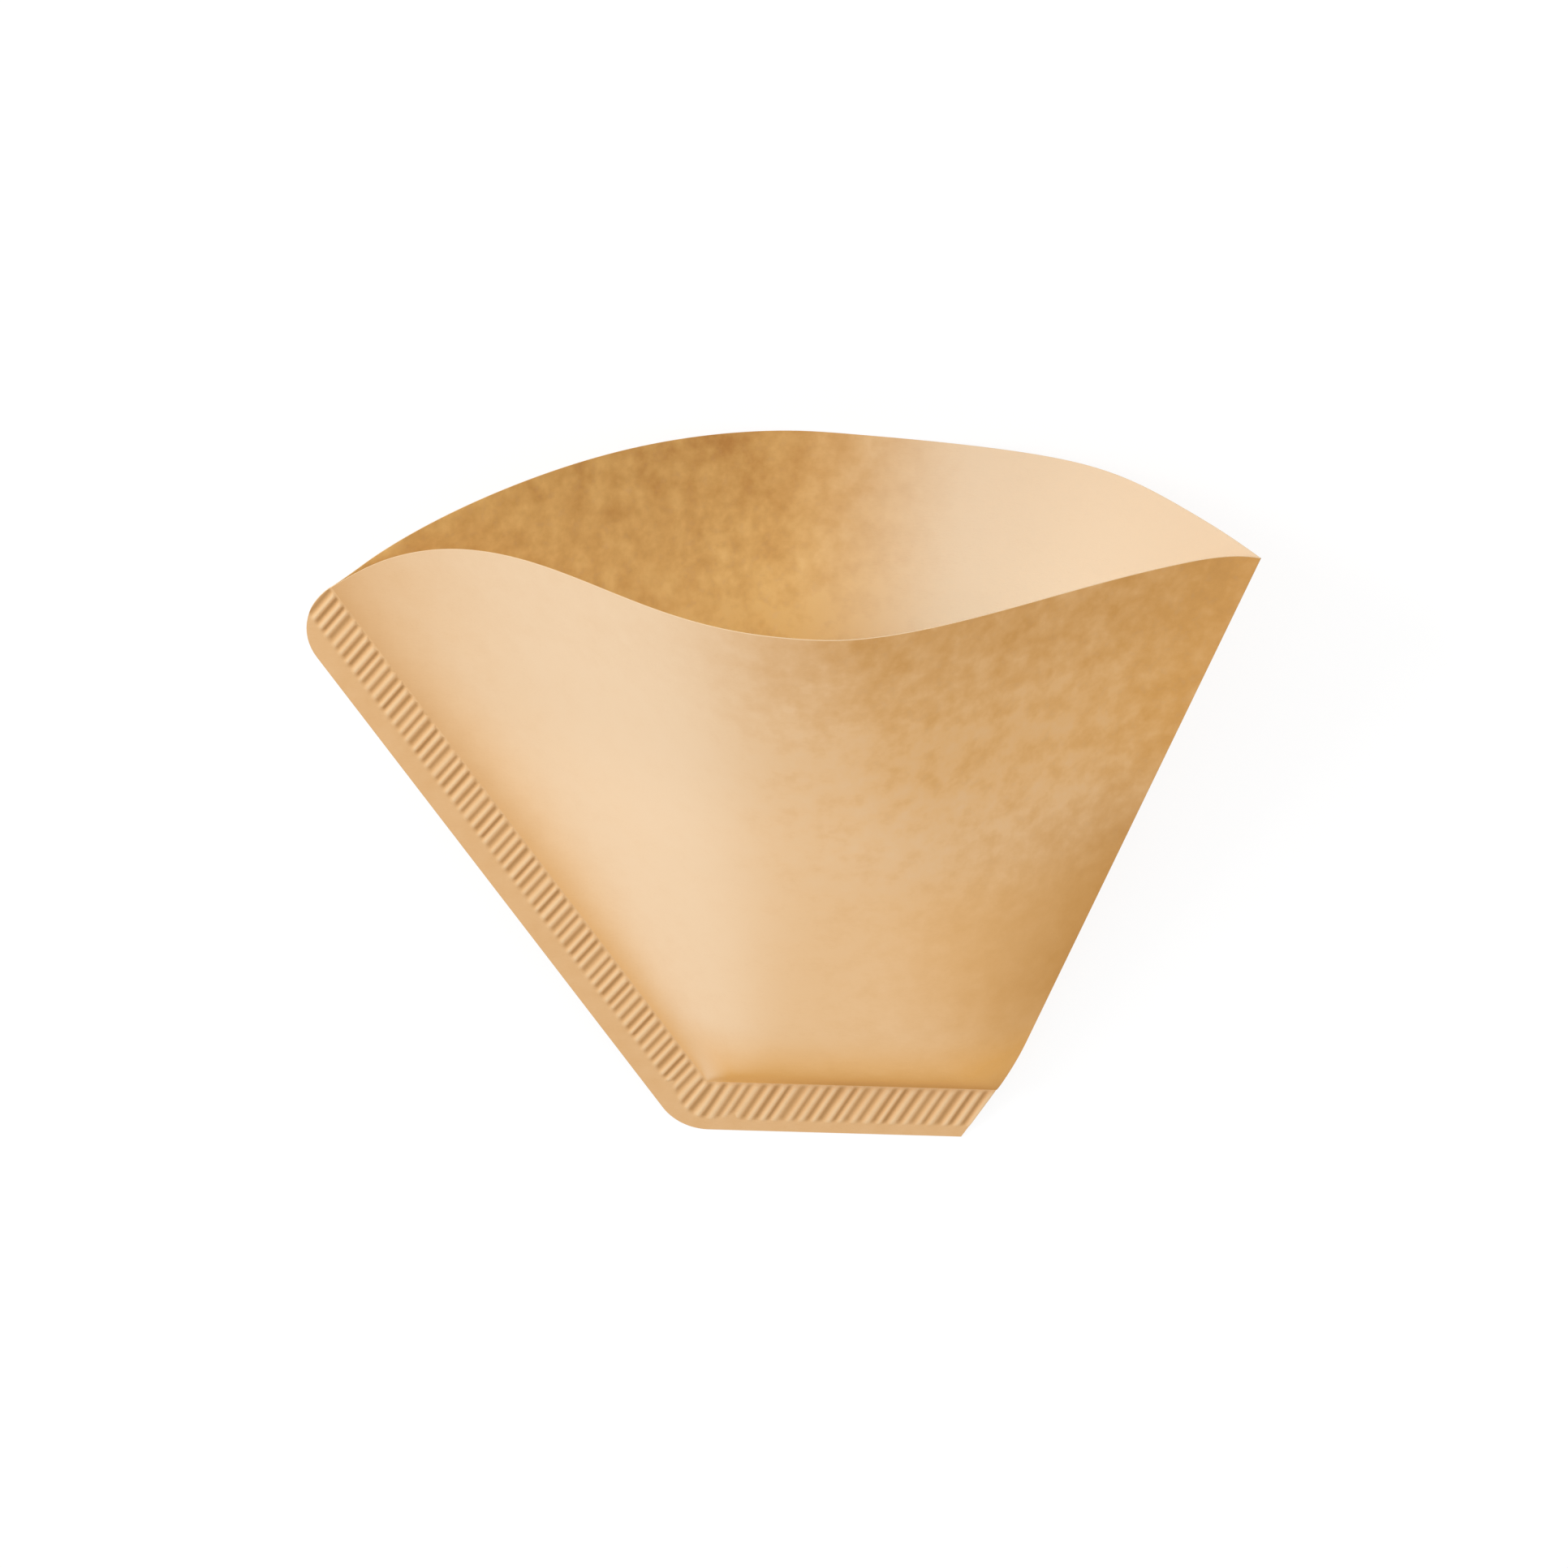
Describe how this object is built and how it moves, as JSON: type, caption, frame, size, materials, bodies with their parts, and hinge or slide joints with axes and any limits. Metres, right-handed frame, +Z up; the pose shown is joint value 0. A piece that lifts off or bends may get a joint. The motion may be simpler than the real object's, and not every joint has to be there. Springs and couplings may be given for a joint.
{
  "type": "paper coffee filter",
  "caption": "Unbleached trapezoid paper coffee filter, opened and lying on its back wall, with a crimped side and bottom seam and a folded edge; holds ground coffee in a dripper.",
  "frame": {"origin": "centre of the footprint, on the table that the filter lies on", "axes": "+X across the filter from the crimped side to the fold, +Y along the table from the bottom seam to the mouth, +Z up from the table"},
  "size_m": [0.1586, 0.1248, 0.0753],
  "materials": {
    "unbleached_paper": "matte"
  },
  "bodies": {
    "root": {"filter_paper": "unbleached_paper"}
  },
  "joints": []
}
